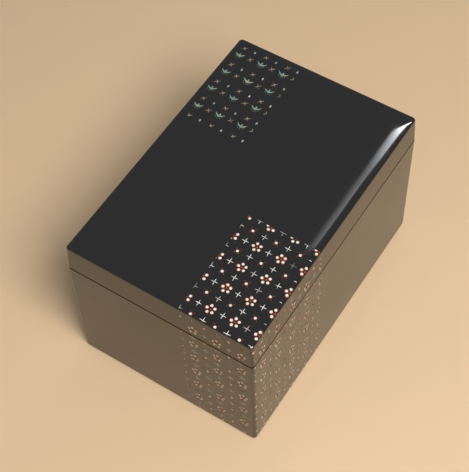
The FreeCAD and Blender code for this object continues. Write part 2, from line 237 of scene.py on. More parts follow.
# Painted seam shade: 1 in the fine groove where the lid closes on the box, 0 away from it and inside.
seam_shade, seam_in, seam_out = new_group(
    "seam_shade",
    [("Half Length", "NodeSocketFloat", 0.1), ("Half Width", "NodeSocketFloat", 0.1),
     ("Level", "NodeSocketFloat", 0.1), ("Reach", "NodeSocketFloat", 0.0005)],
    [("Mask", "NodeSocketFloat")])
split = seam_shade.nodes.new("ShaderNodeSeparateXYZ")
seam_shade.links.new(seam_shade.nodes.new("ShaderNodeTexCoord").outputs["Object"], split.inputs[0])
from_seam = sums(seam_shade, "ABSOLUTE",
                 sums(seam_shade, "SUBTRACT", split.outputs["Z"], seam_in.outputs["Level"]))
from_outside = sums(seam_shade, "MINIMUM",
                    sums(seam_shade, "SUBTRACT", seam_in.outputs["Half Length"],
                         sums(seam_shade, "ABSOLUTE", split.outputs["X"])),
                    sums(seam_shade, "SUBTRACT", seam_in.outputs["Half Width"],
                         sums(seam_shade, "ABSOLUTE", split.outputs["Y"])))
farthest = sums(seam_shade, "MAXIMUM", from_seam,
                sums(seam_shade, "MULTIPLY", SEAM_INWARD, from_outside))
near_seam = sums(seam_shade, "SUBTRACT", SEAM_FADE,
                 sums(seam_shade, "DIVIDE", farthest, seam_in.outputs["Reach"]))
clamp = seam_shade.nodes.new("ShaderNodeClamp")
seam_shade.links.new(near_seam, clamp.inputs["Value"])
seam_shade.links.new(clamp.outputs[0], seam_out.inputs["Mask"])

# Hand polish: the slow waves, faint cloudiness and lengthwise hairlines of rubbing by hand.
WAVE_DETAIL = 1.0
WAVE_HEIGHT = 1.0 * MM
HAIRLINE_STRETCH = (0.12, 1.0, 1.0)
HAIRLINE_SCALE = 900.0
HAIRLINE_DETAIL = 3.0
HAIRLINE_DEPTH = 0.012
CLOUD_SCALE = 35.0
CLOUD_DETAIL = 5.0
hand_polish, polish_in, polish_out = new_group(
    "hand_polish",
    [("Wave Scale", "NodeSocketFloat", 18.0), ("Wave Depth", "NodeSocketFloat", 0.3),
     ("Gloss", "NodeSocketFloat", 0.06), ("Cloud", "NodeSocketFloat", 0.04)],
    [("Roughness", "NodeSocketFloat"), ("Normal", "NodeSocketVector")])
place = hand_polish.nodes.new("ShaderNodeTexCoord").outputs["Object"]
waves = hand_polish.nodes.new("ShaderNodeTexNoise")
waves.inputs["Detail"].default_value = WAVE_DETAIL
hand_polish.links.new(place, waves.inputs["Vector"])
hand_polish.links.new(polish_in.outputs["Wave Scale"], waves.inputs["Scale"])
lengthwise = hand_polish.nodes.new("ShaderNodeVectorMath")
lengthwise.operation = "MULTIPLY"
lengthwise.inputs[1].default_value = HAIRLINE_STRETCH
hand_polish.links.new(place, lengthwise.inputs[0])
hairlines = hand_polish.nodes.new("ShaderNodeTexNoise")
hairlines.inputs["Scale"].default_value = HAIRLINE_SCALE
hairlines.inputs["Detail"].default_value = HAIRLINE_DETAIL
hand_polish.links.new(lengthwise.outputs[0], hairlines.inputs["Vector"])
swell = hand_polish.nodes.new("ShaderNodeBump")
swell.inputs["Distance"].default_value = WAVE_HEIGHT
hand_polish.links.new(polish_in.outputs["Wave Depth"], swell.inputs["Strength"])
height = sums(hand_polish, "ADD", waves.outputs["Fac"],
              sums(hand_polish, "MULTIPLY", HAIRLINE_DEPTH, hairlines.outputs["Fac"]))
hand_polish.links.new(height, swell.inputs["Height"])
hand_polish.links.new(swell.outputs["Normal"], polish_out.inputs["Normal"])
clouds = hand_polish.nodes.new("ShaderNodeTexNoise")
clouds.inputs["Scale"].default_value = CLOUD_SCALE
clouds.inputs["Detail"].default_value = CLOUD_DETAIL
hand_polish.links.new(place, clouds.inputs["Vector"])
haze = sums(hand_polish, "MULTIPLY", polish_in.outputs["Cloud"], clouds.outputs["Fac"])
hand_polish.links.new(sums(hand_polish, "ADD", polish_in.outputs["Gloss"], haze),
                      polish_out.inputs["Roughness"])


def place_group(material, group, **values):
    """The group as a node of the material, with its inputs set by name."""
    node = material.node_tree.nodes.new("ShaderNodeGroup")
    node.node_tree = group
    for label, number in values.items():
        node.inputs[label.replace("_", " ")].default_value = number
    return node


def mixed(tree, amount, first, second):
    """A colour between two colours, each a socket or a constant, by an amount."""
    node = tree.nodes.new("ShaderNodeMix")
    node.data_type = "RGBA"
    tree.links.new(amount, node.inputs["Factor"])
    for label, source in (("A", first), ("B", second)):
        if isinstance(source, bpy.types.NodeSocket):
            tree.links.new(source, node.inputs[label])
        else:
            node.inputs[label].default_value = source
    return node.outputs["Result"]


def lacquer_finish(name, colour, worn_colour, top, bottom, gloss, cloud, wave_depth):
    """Lacquer between two levels of the box: worn along its edges, polished by hand, shade painted at
    the seam.
    """
    material = bpy.data.materials.new(name)
    material.use_nodes = True
    tree = material.node_tree
    shader = tree.nodes["Principled BSDF"]
    wear = place_group(material, edge_wear, Half_Length=cad_high.x, Half_Width=cad_high.y,
                       Top=top, Bottom=bottom, Reach=WEAR_REACH)
    groove = place_group(material, seam_shade, Half_Length=cad_high.x, Half_Width=cad_high.y,
                         Level=seam - SEAM_DROP, Reach=SEAM_REACH)
    worn = mixed(tree, wear.outputs["Mask"], colour, worn_colour)
    # In the groove at the seam the colour goes near-black: painted shade.
    tree.links.new(mixed(tree, groove.outputs["Mask"], worn, PAINTED_SEAM_SHADE), shader.inputs["Base Color"])
    polish = place_group(material, hand_polish, Gloss=gloss, Cloud=cloud, Wave_Depth=wave_depth)
    # There the lacquer is also made dull and metallic, so it reflects almost nothing: more painted
    # shade.
    dulled = sums(tree, "MULTIPLY", groove.outputs["Mask"], PAINTED_SEAM_SHADE_ROUGHNESS)
    tree.links.new(sums(tree, "ADD", polish.outputs["Roughness"], dulled), shader.inputs["Roughness"])
    tree.links.new(groove.outputs["Mask"], shader.inputs["Metallic"])
    tree.links.new(polish.outputs["Normal"], shader.inputs["Normal"])
    shader.inputs["IOR"].default_value = LACQUER_IOR
    return material


def finish_nodes(names, material):
    """Gives CAD nodes a finish in place of their plain slot."""
    for name in names:
        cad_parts[name].data.materials.clear()
        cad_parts[name].data.materials.append(material)


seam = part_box("front_board")[1].z
box_lacquer = lacquer_finish("black_lacquer_box", LACQUER, RUBBED, top=seam, bottom=0.0,
                             gloss=0.04, cloud=0.05, wave_depth=0.35)
finish_nodes(["front_board", "back_board", "left_end_board", "right_end_board"], box_lacquer)

# ---- Base, lips, tray and pegs -------------------------------------------------------------------
# The parts that show only when the box is open or turned over: the base let in between the walls,
# the lips that guide the lid, and the hanging tray, all in a quieter satin lacquer. The pegs that
# hold the boards together are split bamboo.

SATIN = (0.012, 0.0095, 0.0085, 1)
BAMBOO_DARK = (0.30, 0.19, 0.08, 1)
BAMBOO_PALE = (0.62, 0.47, 0.26, 1)
FIBRE_SCALE = 900.0
FIBRE_DETAIL = 6.0

inner_lacquer = lacquer_finish("satin_lacquer", SATIN, SATIN, top=seam, bottom=0.0,
                               gloss=0.24, cloud=0.12, wave_depth=0.5)
inner_names = ["base_board", "front_lip", "back_lip", "left_lip", "right_lip"]
inner_names += [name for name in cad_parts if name.startswith("tray_") and "pegs" not in name]
finish_nodes(inner_names, inner_lacquer)

bamboo = bpy.data.materials.new("split_bamboo")
bamboo.use_nodes = True
bamboo_tree = bamboo.node_tree
fibre = bamboo_tree.nodes.new("ShaderNodeTexNoise")
fibre.inputs["Scale"].default_value = FIBRE_SCALE
fibre.inputs["Detail"].default_value = FIBRE_DETAIL
fibre_place = bamboo_tree.nodes.new("ShaderNodeTexCoord").outputs["Object"]
bamboo_tree.links.new(fibre_place, fibre.inputs["Vector"])
bamboo_tree.links.new(mixed(bamboo_tree, fibre.outputs["Fac"], BAMBOO_DARK, BAMBOO_PALE),
                      bamboo_tree.nodes["Principled BSDF"].inputs["Base Color"])
finish_nodes([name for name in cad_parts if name.endswith("pegs")], bamboo)

# ---- Lid -----------------------------------------------------------------------------------------
# The rims carry on the walls of the box above the seam. The top board is flat in its middle, falls
# away over a gentle shoulder near its edges and turns down over a soft edge into the rims.

SHOULDER_WIDTH = 10.0 * MM
SHOULDER_FALL = 0.7 * MM
EDGE_RADIUS = 1.2 * MM
CORNER_RADIUS = 2.5 * MM
CORNER_STEPS = 10
CORNER_SPREAD = 1.5
CORNER_ROUND = 0.5
EDGE_STEPS = 8
SHOULDER_STEPS = 12
FLAT_STARTS = 1.0 * MM
LID_SMOOTH_UP_TO = math.radians(40)

lid_lacquer = lacquer_finish("black_lacquer_lid", LACQUER, RUBBED, top=cad_high.z, bottom=seam,
                             gloss=0.03, cloud=0.04, wave_depth=0.22)
finish_nodes(["lid_front_rim", "lid_back_rim", "lid_left_rim", "lid_right_rim"], lid_lacquer)

top_low, top_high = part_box("lid_top_board")
bpy.ops.object.select_all(action="DESELECT")
bpy.ops.mesh.primitive_plane_add(size=1, location=(0, 0, top_low.z))
lid_top = bpy.context.object
lid_top.name = "lid_top_lacquer"
bpy.ops.transform.resize(value=(2 * top_high.x, 2 * top_high.y, 1),
                         center_override=(0, 0, top_low.z))
bpy.ops.object.transform_apply(location=True, rotation=True, scale=True)
bpy.ops.object.mode_set(mode="EDIT")
bpy.ops.mesh.select_all(action="SELECT")
bpy.ops.mesh.bevel(affect="VERTICES", offset=CORNER_RADIUS, segments=CORNER_STEPS,
                   profile=CORNER_ROUND)

lean = (cad_high.x - top_high.x) / (top_low.z - seam)
edge_low = top_high.z - SHOULDER_FALL - EDGE_RADIUS
side_inset = lean * (edge_low - top_low.z)


def shoulder_fall(inset):
    """How far the shoulder has fallen at this distance in from the side."""
    return SHOULDER_FALL * max(0.0, 1 - inset / SHOULDER_WIDTH) ** 2


# The cross-section from the side to the flat middle, as (distance in from the side, height).
section = [(0.0, edge_low)]
for step in range(1, EDGE_STEPS + 1):
    turned = step / EDGE_STEPS * math.pi / 2
    inset = EDGE_RADIUS * (1 - math.cos(turned))
    section.append((inset, top_high.z - EDGE_RADIUS * (1 - math.sin(turned)) - shoulder_fall(inset)))
for step in range(1, SHOULDER_STEPS + 1):
    inset = EDGE_RADIUS + (SHOULDER_WIDTH - EDGE_RADIUS) * step / SHOULDER_STEPS
    section.append((inset, top_high.z - shoulder_fall(inset)))
section.append((SHOULDER_WIDTH + FLAT_STARTS, top_high.z))


def move_loop(loop, old, new):
    """Moves a rounded loop in and opens its corners.

    Both old and new are (half length, half width, corner radius).
    """
    for vertex in loop:
        for axis in (0, 1):
            side = math.copysign(1, vertex.co[axis])
            from_centre = (abs(vertex.co[axis]) - old[axis] + old[2]) / old[2]
            vertex.co[axis] = side * (new[axis] - new[2] + new[2] * from_centre)


outline = (top_high.x, top_high.y, CORNER_RADIUS)
level = top_low.z
for from_side_in, height in section:
    bpy.ops.mesh.extrude_region_move(TRANSFORM_OT_translate={"value": (0, 0, height - level)})
    inset = side_inset + from_side_in
    smaller = (top_high.x - inset, top_high.y - inset, CORNER_RADIUS + CORNER_SPREAD * from_side_in)
    lid_mesh = bmesh.from_edit_mesh(lid_top.data)
    move_loop([vertex for vertex in lid_mesh.verts if vertex.select], outline, smaller)
    bmesh.update_edit_mesh(lid_top.data)
    outline, level = smaller, height
bpy.ops.mesh.select_all(action="SELECT")
bpy.ops.mesh.normals_make_consistent(inside=False)
bpy.ops.object.mode_set(mode="OBJECT")
bpy.ops.object.shade_smooth_by_angle(angle=LID_SMOOTH_UP_TO)
flat_first = lid_top.modifiers.new("flat_first", "WEIGHTED_NORMAL")
flat_first.keep_sharp = True
bpy.ops.object.modifier_apply(modifier="flat_first")
lid_top.data.materials.append(lid_lacquer)
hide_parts("lid_top_board")
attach(lid_top, "lid")

# ---- Blossom patch -------------------------------------------------------------------------------
# One corner of the lid and the walls below it carry a small repeat of five-petalled blossoms, dots
# and crosses, built up in raised lacquer: cream over vermilion, and fine silver-white strokes.

SINK = 0.03 * MM
PETALS = 5
PETAL_CIRCLE = 2.85 * MM
PETAL_RADIUS = 1.02 * MM
PETAL_RISE = 0.13 * MM
OUTLINE_RADIUS = 1.15 * MM
OUTLINE_RISE = 0.06 * MM
HEART_RADIUS = 0.55 * MM
FILAMENT_CIRCLE = 1.15 * MM
FILAMENT_LENGTH = 1.3 * MM
FILAMENT_WIDTH = 0.24 * MM
ANTHER_CIRCLE = 1.75 * MM
ANTHER_RADIUS = 0.24 * MM
DOT_RADIUS = 1.00 * MM
DOT_RING_WIDTH = 0.20 * MM
DOT_RAYS = 4
DOT_RAY_CIRCLE = 2.35 * MM
DOT_RAY_LENGTH = 1.1 * MM
DOT_RAY_WIDTH = 0.3 * MM
CROSS_LENGTH = 5.2 * MM
STROKE_WIDTH = 0.42 * MM
STROKE_RISE = 0.07 * MM
CREAM = (0.95, 0.88, 0.76, 1)
CREAM_WORN = (0.66, 0.40, 0.24, 1)
VERMILION = (0.46, 0.075, 0.028, 1)
VERMILION_WORN = (0.14, 0.020, 0.012, 1)
SILVER = (1.0, 0.98, 0.94, 1)
SILVER_WORN = (0.20, 0.18, 0.16, 1)
# Darker copies of the paints for the walls: painted shade, for the weaker light that falls on the
# walls.
CREAM_SHADED = (0.62, 0.52, 0.42, 1)
CREAM_WORN_SHADED = (0.22, 0.13, 0.08, 1)
VERMILION_SHADED = (0.22, 0.05, 0.03, 1)
SILVER_SHADED = (0.52, 0.48, 0.43, 1)
SILVER_WORN_SHADED = (0.06, 0.055, 0.05, 1)

# A button's wall and the two steps of its dome, as parts of its rise; a step's width, of its radius.
BUTTON_WALL = 0.5
BUTTON_STEPS = (0.35, 0.15)
BUTTON_STEP_WIDTH = 0.3
BUTTON_SMOOTH_UP_TO = math.radians(50)

# A stroke is cut a fifth of its length to each side of its middle, and narrows from there to its
# tips, which keep these parts of its width and rise.
STROKE_CUT = 5
STROKE_TIP_FROM = 0.4
STROKE_TIP_WIDTH = 0.4
STROKE_TIP_RISE = 0.6


def ready(piece):
    """Selects this piece alone and makes it the active one."""
    bpy.ops.object.select_all(action="DESELECT")
    piece.select_set(True)
    bpy.context.view_layer.objects.active = piece
    return piece


def button(radius, rise, sides=12, stretch=(1, 1), place=(0, 0)):
    """A low domed button of raised lacquer, sunk a little into the ground it stands on."""
    bpy.ops.mesh.primitive_circle_add(vertices=sides, radius=radius, fill_type="NGON",
                                      location=(0, 0, -SINK))
    piece = ready(bpy.context.object)
    bpy.ops.object.transform_apply(location=True)
    bpy.ops.object.mode_set(mode="EDIT")
    bpy.ops.mesh.select_all(action="SELECT")
    wall = SINK + rise * BUTTON_WALL
    bpy.ops.mesh.extrude_region_move(TRANSFORM_OT_translate={"value": (0, 0, wall)})
    for step_rise in BUTTON_STEPS:
        bpy.ops.mesh.inset(thickness=radius * BUTTON_STEP_WIDTH, depth=rise * step_rise)
    bpy.ops.mesh.select_all(action="SELECT")
    bpy.ops.mesh.normals_make_consistent(inside=False)
    bpy.ops.transform.resize(value=(*stretch, 1), center_override=(0, 0, 0))
    bpy.ops.transform.translate(value=(*place, 0))
    bpy.ops.object.mode_set(mode="OBJECT")
    bpy.ops.object.shade_smooth_by_angle(angle=BUTTON_SMOOTH_UP_TO)
    return piece


def stroke(length, width, rise, angle, place=(0, 0)):
    """A brush stroke along its own X, thick in its middle and fine at both ends, then turned."""
    bpy.ops.mesh.primitive_cube_add(size=1, location=(0, 0, 0))
    piece = ready(bpy.context.object)
    bpy.ops.object.mode_set(mode="EDIT")
    bpy.ops.transform.resize(value=(length, width, rise + SINK), center_override=(0, 0, 0))
    bpy.ops.transform.translate(value=(0, 0, (rise - SINK) / 2))
    for side in (-1, 1):
        bpy.ops.mesh.select_all(action="SELECT")
        bpy.ops.mesh.bisect(plane_co=(side * length / STROKE_CUT, 0, 0), plane_no=(1, 0, 0))
    bpy.ops.object.mode_set(mode="OBJECT")
    for vertex in piece.data.vertices:
        if abs(vertex.co.x) > length * STROKE_TIP_FROM:
            vertex.co.y *= STROKE_TIP_WIDTH
            vertex.co.z = vertex.co.z * STROKE_TIP_RISE if vertex.co.z > 0 else vertex.co.z
    piece.rotation_euler.z = angle
    piece.location = (*place, 0)
    bpy.ops.object.transform_apply(location=True, rotation=True)
    return piece


def joined(name, pieces):
    """The pieces made one, with their places in its mesh."""
    ready(pieces[0])
    for piece in pieces:
        piece.select_set(True)
    bpy.ops.object.join()
    bpy.ops.object.transform_apply(location=True, rotation=True, scale=True)
    bpy.context.object.name = name
    return bpy.context.object


def around(count, radius, number):
    """Where one of count things stands on a circle, the first at the top."""
    angle = math.pi / 2 + number * 2 * math.pi / count
    return angle, (radius * math.cos(angle), radius * math.sin(angle))


blossom_cream = []
blossom_red = [button(HEART_RADIUS, OUTLINE_RISE, 8)]
for number in range(PETALS):
    angle, centre = around(PETALS, PETAL_CIRCLE, number)
    blossom_cream.append(button(PETAL_RADIUS, PETAL_RISE, 14, place=centre))
    blossom_red.append(button(OUTLINE_RADIUS, OUTLINE_RISE, 14, place=centre))
    _, middle = around(PETALS, FILAMENT_CIRCLE, number)
    blossom_red.append(stroke(FILAMENT_LENGTH, FILAMENT_WIDTH, OUTLINE_RISE, angle, middle))
    _, tip = around(PETALS, ANTHER_CIRCLE, number + 0.5)
    blossom_red.append(button(ANTHER_RADIUS, OUTLINE_RISE, 6, place=tip))

dot_red = [button(DOT_RADIUS + DOT_RING_WIDTH, OUTLINE_RISE, 12)]
for number in range(DOT_RAYS):
    angle, centre = around(DOT_RAYS, DOT_RAY_CIRCLE, number + 0.5)
    dot_red.append(stroke(DOT_RAY_LENGTH, DOT_RAY_WIDTH, OUTLINE_RISE, angle, centre))

motifs = {
    "petals": joined("blossom_petals", blossom_cream),
    "outlines": joined("blossom_outlines", blossom_red),
    "dots": joined("dot_centres", [button(DOT_RADIUS, PETAL_RISE, 12)]),
    "dot_rings": joined("dot_rings", dot_red),
    "crosses": joined("crosses", [stroke(CROSS_LENGTH, STROKE_WIDTH, STROKE_RISE, 0),
                                  stroke(CROSS_LENGTH, STROKE_WIDTH, STROKE_RISE, math.pi / 2)]),
}

# Hand work: each motif is a little out of its place in the repeat, and a little turned and resized.
drift = random.Random(11)
DRIFT_PLACE = 0.22 * MM
DRIFT_TURN = math.radians(5)
DRIFT_SIZE = 0.05


def copies(motif, face, spots):
    """The motif drawn at each spot of a face; a face is (corner, along, down, up, out)."""
    corner, along, down, up, out = face
    drawn = []
    for across, deep in spots:
        copy = motif.copy()
        copy.data = motif.data.copy()
        bpy.context.scene.collection.objects.link(copy)
        place = corner + along * (across + drift.uniform(-DRIFT_PLACE, DRIFT_PLACE))
        place += down * (deep + drift.uniform(-DRIFT_PLACE, DRIFT_PLACE))
        hand = Matrix((up.cross(out), up, out)).transposed().to_4x4()
        turned = Matrix.Rotation(drift.uniform(-DRIFT_TURN, DRIFT_TURN), 4, "Z")
        sized = Matrix.Diagonal([1 + drift.uniform(-DRIFT_SIZE, DRIFT_SIZE)] * 2 + [1, 1])
        copy.matrix_world = Matrix.Translation(place) @ hand @ turned @ sized
        drawn.append(copy)
    return drawn


# Less than the first is not worth keeping of a cut bit; closer than the second is on the plane.
THINNEST_LEFT = 0.02 * MM
ON_PLANE = 0.001 * MM


def separate_bits(mesh):
    """The vertices of each button or stroke that a piece is made of, one list for each."""
    seen, found = set(), []
    for first in mesh.verts:
        if first in seen:
            continue
        seen.add(first)
        bit = [first]
        for spot in bit:
            for edge in spot.link_edges:
                beside = edge.other_vert(spot)
                if beside not in seen:
                    seen.add(beside)
                    bit.append(beside)
        found.append(bit)
    return found


def trimmed(piece, cuts):
    """Cuts the piece off along each plane, given as (point, direction of what goes), and closes it.

    Each bit is cut and closed by itself, because one fill over bits that overlap leaves gaps.
    """
    mesh = bmesh.new()
    mesh.from_mesh(piece.data)
    for point, gone in cuts:
        for bit in separate_bits(mesh):
            reach = [(spot.co - point).dot(gone) for spot in bit]
            if max(reach) <= ON_PLANE:
                continue
            if min(reach) >= -THINNEST_LEFT:
                bmesh.ops.delete(mesh, geom=bit, context="VERTS")
                continue
            edges = list(dict.fromkeys(edge for spot in bit for edge in spot.link_edges))
            faces = list(dict.fromkeys(face for spot in bit for face in spot.link_faces))
            cut = bmesh.ops.bisect_plane(mesh, geom=bit + edges + faces, dist=ON_PLANE,
                                         plane_co=point, plane_no=gone, clear_outer=True)
            rim = [part for part in cut["geom_cut"] if isinstance(part, bmesh.types.BMEdge)]
            bmesh.ops.holes_fill(mesh, edges=rim, sides=0)
    bmesh.ops.recalc_face_normals(mesh, faces=mesh.faces)
    mesh.to_mesh(piece.data)
    mesh.free()
    return piece


# The ground is looked for from this far outside it.
RAY_START = 5.0 * MM


def laid_on(piece, face, grounds):
    """Moves every point in or out so that the piece follows the lacquer it lies on."""
    corner, _, _, _, out = face
    for vertex in piece.data.vertices:
        height = (vertex.co - corner).dot(out)
        hits = [ground.ray_cast(vertex.co + out * RAY_START, -out) for ground in grounds]
        found = [spot for hit, spot, _, _ in hits if hit]
        if found:
            vertex.co = max(found, key=out.dot) + out * height
    return piece


def lattice(first, pitch, limit):
    """Places a pitch apart from first, up to just past the limit."""
    return [first + pitch * number for number in range(int((limit - first) / pitch + 1.5))]


def decorate(name, face, body, grounds, paint, drawn_motifs, cuts):
    """One finished piece of decoration: motifs drawn on a face, trimmed to the patch and laid down."""
    drawn = [copy for motif, spots in drawn_motifs for copy in copies(motif, face, spots)]
    piece = trimmed(joined(name, drawn), cuts)
    piece.data.materials.clear()
    piece.data.materials.append(paint)
    laid_on(piece, face, grounds)
    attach(piece, body)
    return piece


WEAR_DETAIL = 3.0
WEAR_SOFTNESS = 0.18
PAINT_COAT_ROUGHNESS = 0.08
GRAIN_SCALE = 2600.0
GRAIN_DEPTH = 0.25
GRAIN_HEIGHT = 0.05 * MM


def raised_paint(name, colour, worn_colour, roughness, coat, wear_scale, wear_level):
    """Raised lacquer paint, rubbed thin in places so that a darker ground shows through."""
    material = bpy.data.materials.new(name)
    material.use_nodes = True
    tree = material.node_tree
    shader = tree.nodes["Principled BSDF"]
    place = tree.nodes.new("ShaderNodeTexCoord").outputs["Object"]
    rub = tree.nodes.new("ShaderNodeTexNoise")
    rub.inputs["Scale"].default_value = wear_scale
    rub.inputs["Detail"].default_value = WEAR_DETAIL
    tree.links.new(place, rub.inputs["Vector"])
    level = tree.nodes.new("ShaderNodeMapRange")
    level.inputs["From Min"].default_value = wear_level
    level.inputs["From Max"].default_value = wear_level + WEAR_SOFTNESS
    tree.links.new(rub.outputs["Fac"], level.inputs["Value"])
    shade = mixed(tree, level.outputs["Result"], colour, worn_colour)
    tree.links.new(shade, shader.inputs["Base Color"])
    shader.inputs["Roughness"].default_value = roughness
    shader.inputs["Coat Weight"].default_value = coat
    shader.inputs["Coat Roughness"].default_value = PAINT_COAT_ROUGHNESS
    grain = tree.nodes.new("ShaderNodeTexNoise")
    grain.inputs["Scale"].default_value = GRAIN_SCALE
    tree.links.new(place, grain.inputs["Vector"])
    bump = tree.nodes.new("ShaderNodeBump")
    bump.inputs["Strength"].default_value = GRAIN_DEPTH
    bump.inputs["Distance"].default_value = GRAIN_HEIGHT
    tree.links.new(grain.outputs["Fac"], bump.inputs["Height"])
    tree.links.new(bump.outputs["Normal"], shader.inputs["Normal"])
    return material


# On the walls the same paints are rubbed thinner and duller, and their colours are darker copies:
# painted shade for the weaker light on the walls.
top_paints = (
    raised_paint("cream_paint", CREAM, CREAM_WORN,
                 roughness=0.42, coat=0.15, wear_scale=240.0, wear_level=0.56),
    raised_paint("vermilion_paint", VERMILION, VERMILION_WORN,
                 roughness=0.4, coat=0.15, wear_scale=300.0, wear_level=0.50),
    raised_paint("silver_paint", SILVER, SILVER_WORN,
                 roughness=0.45, coat=0.1, wear_scale=130.0, wear_level=0.50))
shaded_wall_paints = (
    raised_paint("cream_paint_shaded_wall", CREAM_SHADED, CREAM_WORN_SHADED,
                 roughness=0.45, coat=0.1, wear_scale=260.0, wear_level=0.50),
    raised_paint("vermilion_paint_shaded_wall", VERMILION_SHADED, VERMILION_WORN,
                 roughness=0.45, coat=0.1, wear_scale=300.0, wear_level=0.45),
    raised_paint("silver_paint_shaded_wall", SILVER_SHADED, SILVER_WORN_SHADED,
                 roughness=0.5, coat=0.1, wear_scale=130.0, wear_level=0.45))

X, Y, Z = Vector((1, 0, 0)), Vector((0, 1, 0)), Vector((0, 0, 1))
left_front_top = Vector((cad_low.x, cad_low.y, cad_high.z))
lid_depth = cad_high.z - seam
BOX_MOUTH = 0.9 * MM
RIM_EDGE = 0.5 * MM
FOOT = 2.2 * MM
EDGE_KEPT_CLEAR = 1.3 * MM
CROSS_CUT_SHORT = 1.3 * MM
CORNER_KEPT_CLEAR = 0.7 * MM
SHOULDER_KEPT_CLEAR = 0.5 * MM
MOTIF_REACH = 5.0 * MM
BLOSSOM_WIDTH = 88.0 * MM
BLOSSOM_DEPTH = 58.4 * MM
BLOSSOM_END_WIDTH = 57.0 * MM
lid_set_in = cad_high.x - top_high.x + side_inset
top_kept_clear = lid_set_in + SHOULDER_KEPT_CLEAR


def repeat(first, pitch, size):
    """Spots of the blossoms, dots and crosses of a repeat that fills a patch of this size."""
    columns = lattice(first[0], pitch[0], size[0])
    rows = lattice(first[1], pitch[1], size[1])
    half_columns = lattice(first[0] % pitch[0] - pitch[0] / 2, pitch[0], size[0])
    half_columns = [place for place in half_columns if place > 0]
    half_rows = [place for place in lattice(first[1] + pitch[1] / 2, pitch[1], size[1]) if place > 0]
    half_rows = [first[1] - pitch[1] / 2] * (first[1] > pitch[1] / 2) + half_rows
    blossoms = [(column, row) for column in columns for row in rows]
    dots = [(column, row) for column in half_columns for row in half_rows]
    crosses = [(column, row) for column in columns for row in half_rows]
    crosses += [(column, row) for column in half_columns for row in rows]
    return blossoms, dots, crosses


def patch_cuts(face, body, width, nearest, farthest):
    """Where a part of a patch ends: at the box's corner, its own width and two depths."""
    corner, along, down, _, _ = face
    clear = CORNER_KEPT_CLEAR + lid_set_in * (body == "lid")
    return [(corner + along * clear, -along), (corner + along * width, along),
            (corner + down * nearest, -down), (corner + down * farthest, down)]


def near_part(spots, nearest, farthest, width=math.inf):
    """The spots whose motifs can reach a part of a patch, between two depths and up to a width."""
    return [(across, deep) for across, deep in spots
            if nearest - MOTIF_REACH < deep < farthest + MOTIF_REACH and across < width]


def blossom_patch(face, size, first, pitch, paints, parts):
    """The blossom repeat on one face; parts are (name, body, grounds, nearest and farthest depth)."""
    corner, along, down, _, _ = face
    cream, vermilion, silver = paints
    repeats = repeat(first, pitch, size)
    for part, body, grounds, nearest, farthest in parts:
        cuts = patch_cuts(face, body, size[0], nearest, farthest)
        blossoms, dots, crosses = [near_part(spots, nearest, farthest) for spots in repeats]
        decorate(f"blossom_petals_{part}", face, body, grounds, cream,
                 [(motifs["petals"], blossoms), (motifs["dots"], dots)], cuts)
        decorate(f"blossom_outlines_{part}", face, body, grounds, vermilion,
                 [(motifs["outlines"], blossoms), (motifs["dot_rings"], dots)], cuts)
        if part == "lid_top":
            cuts.append((corner + down * (nearest + CROSS_CUT_SHORT), -down))
        decorate(f"crosses_{part}", face, body, grounds, silver,
                 [(motifs["crosses"], crosses)], cuts)


full_depth = cad_high.z - cad_low.z - FOOT
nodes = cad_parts
bpy.context.view_layer.update()
blossom_patch(
    (left_front_top, X, Y, Y, Z), (BLOSSOM_WIDTH, BLOSSOM_DEPTH),
    first=(12.0 * MM, 2.1 * MM), pitch=(19.0 * MM, 18.8 * MM), paints=top_paints,
    parts=[("lid_top", "lid", [lid_top], top_kept_clear, BLOSSOM_DEPTH)])
blossom_patch(
    (left_front_top, Y, -Z, Z, -X), (BLOSSOM_END_WIDTH, full_depth),
    first=(9.1 * MM, -2.2 * MM), pitch=(19.2 * MM, 19.3 * MM), paints=shaded_wall_paints,
    parts=[("lid_left", "lid", [nodes["lid_left_rim"], nodes["lid_front_rim"], lid_top],
            EDGE_KEPT_CLEAR, lid_depth - RIM_EDGE),
           ("box_left", "box", [nodes["left_end_board"], nodes["front_board"]],
            lid_depth + BOX_MOUTH, full_depth)])
blossom_patch(
    (left_front_top, X, -Z, Z, -Y), (BLOSSOM_WIDTH, full_depth),
    first=(12.0 * MM, -2.1 * MM), pitch=(19.0 * MM, 19.0 * MM), paints=shaded_wall_paints,
    parts=[("lid_front", "lid", [nodes["lid_front_rim"], lid_top],
            EDGE_KEPT_CLEAR, lid_depth - RIM_EDGE),
           ("box_front", "box", [nodes["front_board"]], lid_depth + BOX_MOUTH, full_depth)])

# ---- Bird patch ----------------------------------------------------------------------------------
# The opposite corner has birds cut from green shell, which on the lid fly towards the left end,
# with dull gold crossed strokes and small pale shell chips between them.

SHELL_GREEN = (0.23, 0.34, 0.25, 1)
SHELL_BLUE = (0.18, 0.30, 0.30, 1)
SHELL_OLIVE = (0.36, 0.42, 0.25, 1)
CHIP_GREY = (0.30, 0.39, 0.36, 1)
CHIP_BLUE = (0.24, 0.38, 0.42, 1)
CHIP_PALE = (0.46, 0.53, 0.45, 1)
GOLD = (0.34, 0.27, 0.16, 1)
GOLD_WORN = (0.13, 0.065, 0.035, 1)
WING_SPAN = 8.0 * MM
WING_CHORD = 1.5 * MM
WING_SWEEP = 2.4 * MM
TAIL_LENGTH = 2.8 * MM
TAIL_HALF_WIDTH = 0.55
TAIL_NARROWING = 0.2
HEAD_RADIUS = 0.5 * MM
FEATHERS = (-2, -1, 0, 1, 2)
FEATHER_TURN = math.radians(30)
FEATHER_CIRCLE = 3.1 * MM
FEATHER_SHIFT = 0.1 * MM
FEATHER_RADIUS = 0.26 * MM
FEATHER_STRETCH = (1.5, 0.8)
CHIP_RADIUS = 0.9 * MM
CHIP_STRETCH = (1.35, 0.72)
GOLD_WIDTH = 0.62 * MM
SHELL_RISE = 0.09 * MM

